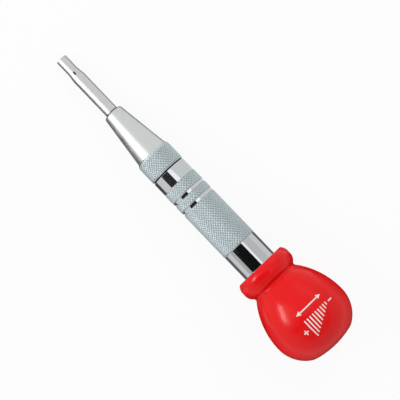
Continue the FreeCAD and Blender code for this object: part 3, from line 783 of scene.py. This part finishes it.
class PUNCH_OT_mark(bpy.types.Operator):
    """Makes the white mark printed on the knob: a scale of growing bars between a minus and a plus,
    and a two-way arrow beside it"""
    bl_idname = "punch.mark"
    bl_label = "Printed mark"

    def execute(self, context):
        sizes = context.scene.punch_knob
        line = sizes.mark_line
        film = 0.03 * MM
        bars, spacing, foot = 9, 1.4 * MM, -2 * MM
        first_height, growth = 1.4 * MM, 0.8 * MM
        sign = 2.2 * MM
        arm = (sign - line) / 2
        aside = 8.2 * MM
        minus_place, plus_place = -1.2 * MM, 1.8 * MM
        bm = bmesh.new()
        self.add_arrow(bm, line, width=9.5 * MM, along=-5.4 * MM)
        for index in range(bars):
            height = first_height + growth * index
            self.add_bar(bm, (index - (bars - 1) / 2) * spacing, foot + height / 2, line, height)
        self.add_bar(bm, -aside, minus_place, sign, line)
        self.add_bar(bm, aside, plus_place, sign, line)
        for side in (-1, 1):
            self.add_bar(bm, aside, plus_place + side * (line + arm) / 2, line, arm)
        self.wrap(bm, sizes, film / 2)
        bmesh.ops.solidify(bm, geom=bm.faces, thickness=film)
        finish_piece("knob_mark", bm, [pad_print_ink()], "knob_unit", smooth_angle=40.0)
        return {"FINISHED"}

    def add_bar(self, bm, round_knob, along, width, height):
        """A flat bar cut into short lengths, so that it bends when it is wrapped. X runs round the knob."""
        place = Matrix.Translation((round_knob, along, 0)) @ Matrix.Diagonal((width, height, 1, 1))
        cuts = (max(1, round(width / MM)), max(1, round(height / MM)))
        made = bmesh.ops.create_grid(bm, x_segments=cuts[0], y_segments=cuts[1], size=0.5, matrix=place)
        return made["verts"]

    def add_arrow(self, bm, line, width, along):
        """A line with an arrow head at each end, blunt by a fiftieth."""
        head = 2.0 * MM
        narrowing = 0.98
        self.add_bar(bm, 0, along, width, line)
        for side in (-1, 1):
            centre = side * (width + head) / 2
            for vertex in self.add_bar(bm, centre, along, head, head):
                to_point = (side * (vertex.co.x - centre) + head / 2) / head
                vertex.co.y = along + (vertex.co.y - along) * (1 - narrowing * to_point)

    def wrap(self, bm, sizes, proud):
        """Lays the flat mark on the bulb, a little proud of it."""
        crest = KNOB_START + sizes.bulb_place
        middle = KNOB_START + sizes.mark_place
        turned_by = math.radians(11)
        for vertex in bm.verts:
            place = middle + vertex.co.y
            bend = sizes.front_arc if place < crest else sizes.rear_arc
            out = BULB_RADIUS - bend + math.sqrt(bend ** 2 - (place - crest) ** 2) + proud
            angle = turned_by - vertex.co.x / BULB_RADIUS
            vertex.co = (place, out * math.sin(angle), out * math.cos(angle))


class PUNCH_OT_springs(bpy.types.Operator):
    """Makes the return spring and the main spring of round wire, and the leaf spring"""
    bl_idname = "punch.springs"
    bl_label = "Springs"

    def execute(self, context):
        sizes = context.scene.punch_springs
        self.make_return_spring(sizes.return_wire, sizes.return_coils)
        self.make_main_spring(sizes.main_wire, sizes.main_coils, sizes.main_front_coils)
        self.make_leaf()
        return {"FINISHED"}

    def make_return_spring(self, wire, coils):
        """Closed at both ends, between the spindle's head and the guide bush."""
        start, end, outside = reach("return_spring")
        rise = open_rise(start, end, wire, coils)
        bm = wound_wire(start + wire / 2, outside - wire / 2, wire,
                        ((1, wire), (coils - 2, rise), (1, wire)))
        spring = finish_piece("return_spring_wire", bm, [wire_steel()], "housing",
                              ["return_spring"], smooth_angle=50.0)
        squash_to(spring)

    def make_main_spring(self, wire, coils, front_coils):
        """In two lengths: the front one rides on the housing, and the rear one on no body."""
        start, end, outside = reach("main_spring")
        rise = open_rise(start, end, wire, coils)
        middle = start + 1.5 * wire + front_coils * rise
        front = finish_piece(
            "main_spring_front",
            wound_wire(start + wire / 2, outside - wire / 2, wire, ((1, wire), (front_coils, rise))),
            [wire_steel()], "housing", ["main_spring"], smooth_angle=50.0)
        squash_to(front)
        rear = finish_piece(
            "main_spring_rear",
            wound_wire(middle, outside - wire / 2, wire, ((coils - 2 - front_coils, rise), (1, wire))),
            [wire_steel()], None, smooth_angle=50.0)
        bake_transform(rear)

    def make_leaf(self):
        """The leaf spring as packed, copied from the imported model."""
        bm = bmesh.new()
        bm.from_mesh(frame["nodes"]["trip_spring"].data)
        bmesh.ops.remove_doubles(bm, verts=bm.verts, dist=10 * SAME_POINT)
        bmesh.ops.transform(bm, matrix=TOOL.inverted(), verts=bm.verts)
        leaf = finish_piece("trip_leaf", bm, [wire_steel()], None, ["trip_spring"])
        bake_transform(leaf)


class PUNCH_OT_inside(bpy.types.Operator):
    """Finishes the pieces inside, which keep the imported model's shapes"""
    bl_idname = "punch.inside"
    bl_label = "Pieces inside"

    def execute(self, context):
        finishes = {
            hardened_steel(): ("hammer", "trip_block", "cam_sleeve", "spring_seat", "thrust_ball"),
            tip_steel(): ("spindle", "leaf_rivet"),
            wire_steel(): ("stop_ring",),
            zinc_plate(): ("adjuster_screw", "end_cap", "lock_nut"),
            sintered_bronze(): ("nose_bush", "guide_bush"),
            nitrile_rubber(): ("friction_ring",),
        }
        for material, nodes in finishes.items():
            for name in nodes:
                mesh = frame["nodes"][name].data
                mesh.materials.clear()
                mesh.materials.append(material)
        return {"FINISHED"}


# ---------------------------------------------------------------- stage
WHITE = (1, 1, 1, 1)
FLOOR_REACH = 3.0
FLOOR_GLOW = 0.91
ALL_ROUND_LIGHT = 0.6
LIGHTS_AIM = (0.07, 0, 0)
CAMERA_AIM = (0.0798, 0.0011, 0)
CARD_HEIGHT = 0.5
CARD_RISE = 0.0002
BULB_MIDDLE = (0.055, 0, 0)

# Cards over the tool: a name, the card's stretch along the tool on its far side and where that side lies
# across the tool, the same for its near side, and how bright the card is.
CARDS_OVER = (
    ("card_over_front_band", (0.012, 0.06), -0.05, (-0.02, 0.052), -0.75, 0.03),
    ("card_line_front", (0.02, 0.06), 0.2, (0.012, 0.06), -0.05, 1.55),
    ("card_over_knurl", (0.06, 0.087), 0.36, (0.0575, 0.087), -0.28, 0.04),
    ("card_over_rear_band", (0.087, 0.17), 0.134, (0.08, 0.17), -0.75, 0.01),
    ("card_line_rear", (0.087, 0.17), 0.27, (0.087, 0.17), 0.134, 1.5),
    ("card_near_rear_band", (0.08, 0.17), -0.75, (0.022, 0.17), -3.0, 0.68),
    ("card_far_rear_band", (0.022, 0.17), 3.0, (0.087, 0.17), 0.27, 0.83),
    ("card_over_knob", (0.175, 0.9), 0.6, (0.175, 0.9), -0.6, 0.5),
)
# A glowing card in place of a wall lit by the softbox: painted light that the taper shows as its broad bright
# band.
GLOWING_WALL = ((-0.7, -0.26, 0.86), (-0.17, -0.26, 0.86), (-0.17, -0.86, 0.27), (-0.7, -0.86, 0.27))
GLOWING_WALL_STRENGTH = 1.6
# Cards on the floor: a name, the corners, and how bright the card is. The dark ones are painted shade beside
# and under the tool, which only its reflections show.
CARDS_UNDER = (
    ("card_under_tip", ((-0.1, 0.006), (-0.026, 0.016), (-0.026, -0.06), (-0.1, -0.12)), 0.2),
    ("card_under_front_band", ((-0.024, 0.004), (-0.01, 0.004), (-0.01, -0.035), (-0.024, -0.035)), 0.1),
    ("card_under_first_groove",
     ((-0.0072, 0.004), (-0.0044, 0.004), (-0.0044, -0.035), (-0.0072, -0.035)), 0.1),
    ("card_under_second_groove",
     ((-0.0024, 0.004), (0.0004, 0.004), (0.0004, -0.035), (-0.0024, -0.035)), 0.1),
    ("card_under_long_knurl", ((0.002, 0), (0.024, 0), (0.024, -0.12), (0.002, -0.12)), 0.4),
    ("card_under_rear_band", ((0.022, 0.032), (0.042, 0.034), (0.042, -0.045), (0.022, -0.04)), 0.18),
)
# A dark card on the floor round the knob, fading to white away from the bulb: painted shade that the knob's
# reflections show.
UNDER_KNOB = ((0.042, 0.078), (0.06, 0.13), (0.16, 0.13), (0.16, -0.13), (0.06, -0.13), (0.042, -0.078))
UNDER_KNOB_STRENGTH = 0.02
UNDER_KNOB_FADE = (0.03, 0.13)


def stage_object(name, bm, material):
    """Makes a bmesh into a floor or a card."""
    mesh = bpy.data.meshes.new(name)
    bm.to_mesh(mesh)
    bm.free()
    mesh.materials.append(material)
    made = bpy.data.objects.new(name, mesh)
    bpy.context.scene.collection.objects.link(made)
    return made


def card(name, corners, strength, fade=None):
    """A flat stage card that only reflections see. It glows with painted light, though it is no lamp: 0 is
    black, 1 is white, and more is brighter.

    fade is the distances from the bulb's middle between which the card fades to white.
    """
    material, tree = empty_material(name)
    glow = add_node(tree, "ShaderNodeEmission", {"Color": WHITE, "Strength": strength})
    if fade:
        place = add_node(tree, "ShaderNodeTexCoord")
        away = add_node(tree, "ShaderNodeVectorMath", {
            0: place.outputs["Object"], 1: BULB_MIDDLE}, operation="DISTANCE")
        level = add_node(tree, "ShaderNodeMapRange", {
            "Value": away.outputs["Value"], "From Min": fade[0], "From Max": fade[1], "To Min": strength})
        tree.links.new(level.outputs["Result"], glow.inputs["Strength"])
    finish_material(tree, glow)
    bm = bmesh.new()
    bm.faces.new([bm.verts.new(corner) for corner in corners])
    made = stage_object(name, bm, material)
    made.visible_camera = False
    made.visible_diffuse = False
    made.visible_shadow = False
    made.visible_transmission = False


class PUNCH_OT_stage(bpy.types.Operator):
    """Makes the floor, the light and the camera"""
    bl_idname = "punch.stage"
    bl_label = "Floor, light and camera"

    def execute(self, context):
        self.make_floor(context)
        self.make_world(context)
        self.make_lights(context)
        self.make_cards()
        self.make_camera(context)
        context.scene.view_settings.view_transform = "Standard"
        return {"FINISHED"}

    def make_floor(self, context):
        """A white floor. To the camera and in reflections it adds light of its own, over its shadow."""
        material, tree = empty_material("floor_white_paper")
        paper = add_node(tree, "ShaderNodeBsdfDiffuse", {
            "Color": (*context.scene.punch_colours.floor, 1)})
        glow = add_node(tree, "ShaderNodeEmission", {"Color": WHITE, "Strength": 1.0})
        share = add_node(tree, "ShaderNodeMath", {
            0: self.seen_rays(tree), 1: FLOOR_GLOW}, operation="MULTIPLY")
        shader = add_node(tree, "ShaderNodeMixShader", {
            0: share.outputs[0], 1: paper.outputs[0], 2: glow.outputs[0]})
        finish_material(tree, shader)
        bm = bmesh.new()
        bmesh.ops.create_grid(bm, x_segments=1, y_segments=1, size=FLOOR_REACH)
        stage_object("floor", bm, material)

    def seen_rays(self, tree):
        """1 for what the camera, a reflection or a clear body sees, and 0 for what lights the object."""
        rays = add_node(tree, "ShaderNodeLightPath")
        seen = add_node(tree, "ShaderNodeMath", {
            0: rays.outputs["Is Camera Ray"], 1: rays.outputs["Is Glossy Ray"]}, operation="MAXIMUM")
        return add_node(tree, "ShaderNodeMath", {
            0: seen.outputs[0], 1: rays.outputs["Is Transmission Ray"]}, operation="MAXIMUM").outputs[0]

    def make_world(self, context):
        """Soft light from all round, which the camera and reflections see as white."""
        world = bpy.data.worlds.new("studio")
        context.scene.world = world
        world.use_nodes = True
        tree = world.node_tree
        tree.nodes.clear()
        strength = add_node(tree, "ShaderNodeMapRange", {
            "Value": self.seen_rays(tree), "To Min": ALL_ROUND_LIGHT, "To Max": 1.0})
        background = add_node(tree, "ShaderNodeBackground", {
            "Color": WHITE, "Strength": strength.outputs["Result"]})
        add_node(tree, "ShaderNodeOutputWorld", {"Surface": background.outputs[0]})

    def make_lights(self, context):
        """A softbox on the near side, towards the tip, and a weaker one opposite that metal doesn't show."""
        self.make_softbox(context, "softbox", away=(-0.33, -0.49, 0.365), size=(0.34, 0.14), power=1.5)
        fill = self.make_softbox(context, "softbox_fill", away=(-0.36, 0.45, 0.35), size=(0.34, 0.28),
                                 power=1.2)
        fill.visible_glossy = False

    def make_softbox(self, context, name, away, size, power):
        """An area light, away from the place that it lights."""
        data = bpy.data.lights.new(name, "AREA")
        data.shape = "RECTANGLE"
        data.size, data.size_y = size
        data.energy = power
        light = bpy.data.objects.new(name, data)
        context.scene.collection.objects.link(light)
        aim = TOOL @ Vector(LIGHTS_AIM)
        light.location = aim + Vector(away)
        light.rotation_euler = (aim - light.location).to_track_quat("-Z", "Y").to_euler()
        return light

    def make_cards(self):
        """Cards that only reflections see. They give the polished bands their black stripe with a bright
        line beside it, the taper its broad light, the knurl some contrast, and the edges of metal and vinyl
        their shade."""
        for name, far_stretch, far_place, near_stretch, near_place, strength in CARDS_OVER:
            corners = [(far_stretch[0], far_place), (far_stretch[1], far_place),
                       (near_stretch[1], near_place), (near_stretch[0], near_place)]
            card(name, [TOOL @ Vector((*corner, CARD_HEIGHT)) for corner in corners], strength)
        card("card_glowing_wall", GLOWING_WALL, GLOWING_WALL_STRENGTH)
        for name, corners, strength in CARDS_UNDER:
            card(name, [(*corner, CARD_RISE) for corner in corners], strength)
        card("card_under_knob", [(*corner, CARD_RISE) for corner in UNDER_KNOB], UNDER_KNOB_STRENGTH,
             UNDER_KNOB_FADE)

    def make_camera(self, context):
        """Looks almost straight down with a long lens, the tool running from top left to bottom right."""
        tilt = math.radians(2.67)
        roll = math.radians(46.2)
        distance = 0.6
        aim = TOOL @ Vector(CAMERA_AIM)
        view = Vector((math.sin(tilt), 0, -math.cos(tilt)))
        along = TOOL.to_3x3() @ Vector((1, 0, 0))
        along = (along - view * along.dot(view)).normalized()
        across = view.cross(along)
        right = along * math.cos(roll) - across * math.sin(roll)
        up = -(along * math.sin(roll) + across * math.cos(roll))
        data = bpy.data.cameras.new("camera")
        data.lens = 135
        data.sensor_width = 36
        data.clip_start = 0.01
        data.clip_end = 10
        camera = bpy.data.objects.new("camera", data)
        context.scene.collection.objects.link(camera)
        camera.matrix_world = (Matrix.Translation(aim - view * distance)
                               @ Matrix((right, up, -view)).transposed().to_4x4())
        context.scene.camera = camera


# ---------------------------------------------------------------- add-on
OPERATORS = (PUNCH_OT_stage, PUNCH_OT_tip, PUNCH_OT_nose, PUNCH_OT_barrel, PUNCH_OT_knob,
             PUNCH_OT_mark, PUNCH_OT_springs, PUNCH_OT_inside)
GROUPS = {
    "punch_tip": PunchTipSizes,
    "punch_nose": PunchNoseSizes,
    "punch_barrel": PunchBarrelSizes,
    "punch_knurl": PunchKnurlSizes,
    "punch_knob": PunchKnobSizes,
    "punch_springs": PunchSpringSizes,
    "punch_colours": PunchColours,
}


class PUNCH_PT_panel(bpy.types.Panel):
    """Lists the operators"""
    bl_label = "Automatic punch"
    bl_idname = "PUNCH_PT_panel"
    bl_space_type = "VIEW_3D"
    bl_region_type = "UI"
    bl_category = "Punch"

    def draw(self, context):
        for operator in OPERATORS:
            self.layout.operator(operator.bl_idname)


def register():
    for name, group in GROUPS.items():
        bpy.utils.register_class(group)
        setattr(bpy.types.Scene, name, bpy.props.PointerProperty(type=group))
    for kind in (*OPERATORS, PUNCH_PT_panel):
        bpy.utils.register_class(kind)


def unregister():
    for kind in (*OPERATORS, PUNCH_PT_panel):
        bpy.utils.unregister_class(kind)
    for name, group in GROUPS.items():
        delattr(bpy.types.Scene, name)
        bpy.utils.unregister_class(group)


def main():
    register()
    bpy.ops.punch.stage()
    bpy.ops.punch.tip()
    bpy.ops.punch.nose()
    bpy.ops.punch.barrel()
    bpy.ops.punch.knob()
    bpy.ops.punch.mark()
    bpy.ops.punch.springs()
    bpy.ops.punch.inside()


if __name__ == "__main__":
    main()
